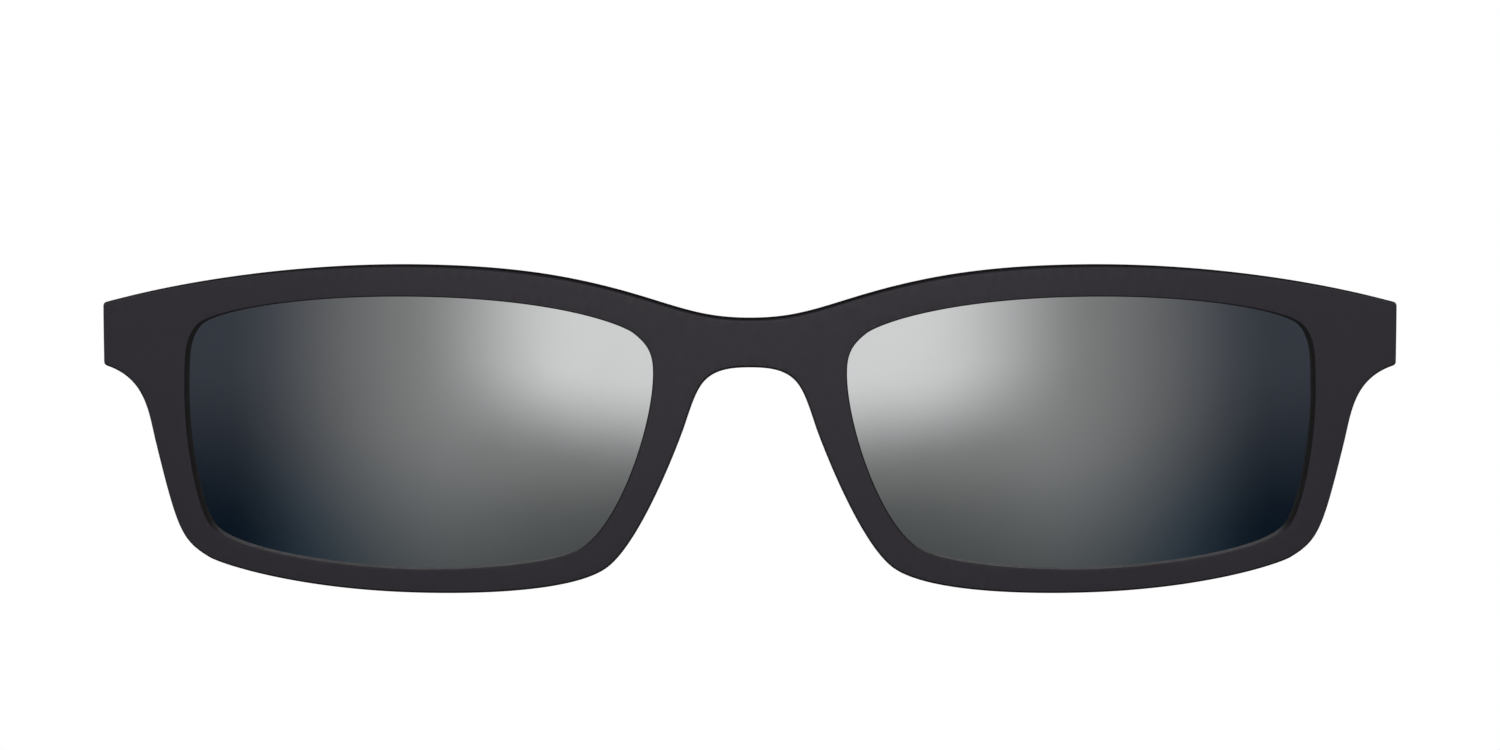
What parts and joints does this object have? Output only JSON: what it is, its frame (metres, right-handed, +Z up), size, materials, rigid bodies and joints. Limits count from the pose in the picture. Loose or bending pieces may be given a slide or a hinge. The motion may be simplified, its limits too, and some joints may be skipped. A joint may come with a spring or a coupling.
{
  "type": "clip-on sunglasses",
  "caption": "Magnetic clip-on sunglass front: a bent rectangular plastic front with mirrored sun lenses set in from the back and disc magnets that hold it on a pair of glasses.",
  "frame": {"origin": "middle of the bridge magnet's rear face, where the clip meets the bridge of the glasses", "axes": "+Z up, +Y towards the wearer along the bridge magnet's axis, +X towards the wearer's left, so the front faces -Y"},
  "size_m": [0.1364, 0.0137, 0.0343],
  "materials": {
    "frame_plastic": "satin",
    "mirrored_lens": "gloss",
    "plated_magnet": "polished"
  },
  "bodies": {
    "root": {"front_frame": "frame_plastic", "right_lens": "mirrored_lens", "left_lens": "mirrored_lens", "bridge_magnet": "plated_magnet", "right_inner_magnet": "plated_magnet", "right_outer_magnet": "plated_magnet", "left_inner_magnet": "plated_magnet", "left_outer_magnet": "plated_magnet"}
  },
  "joints": []
}
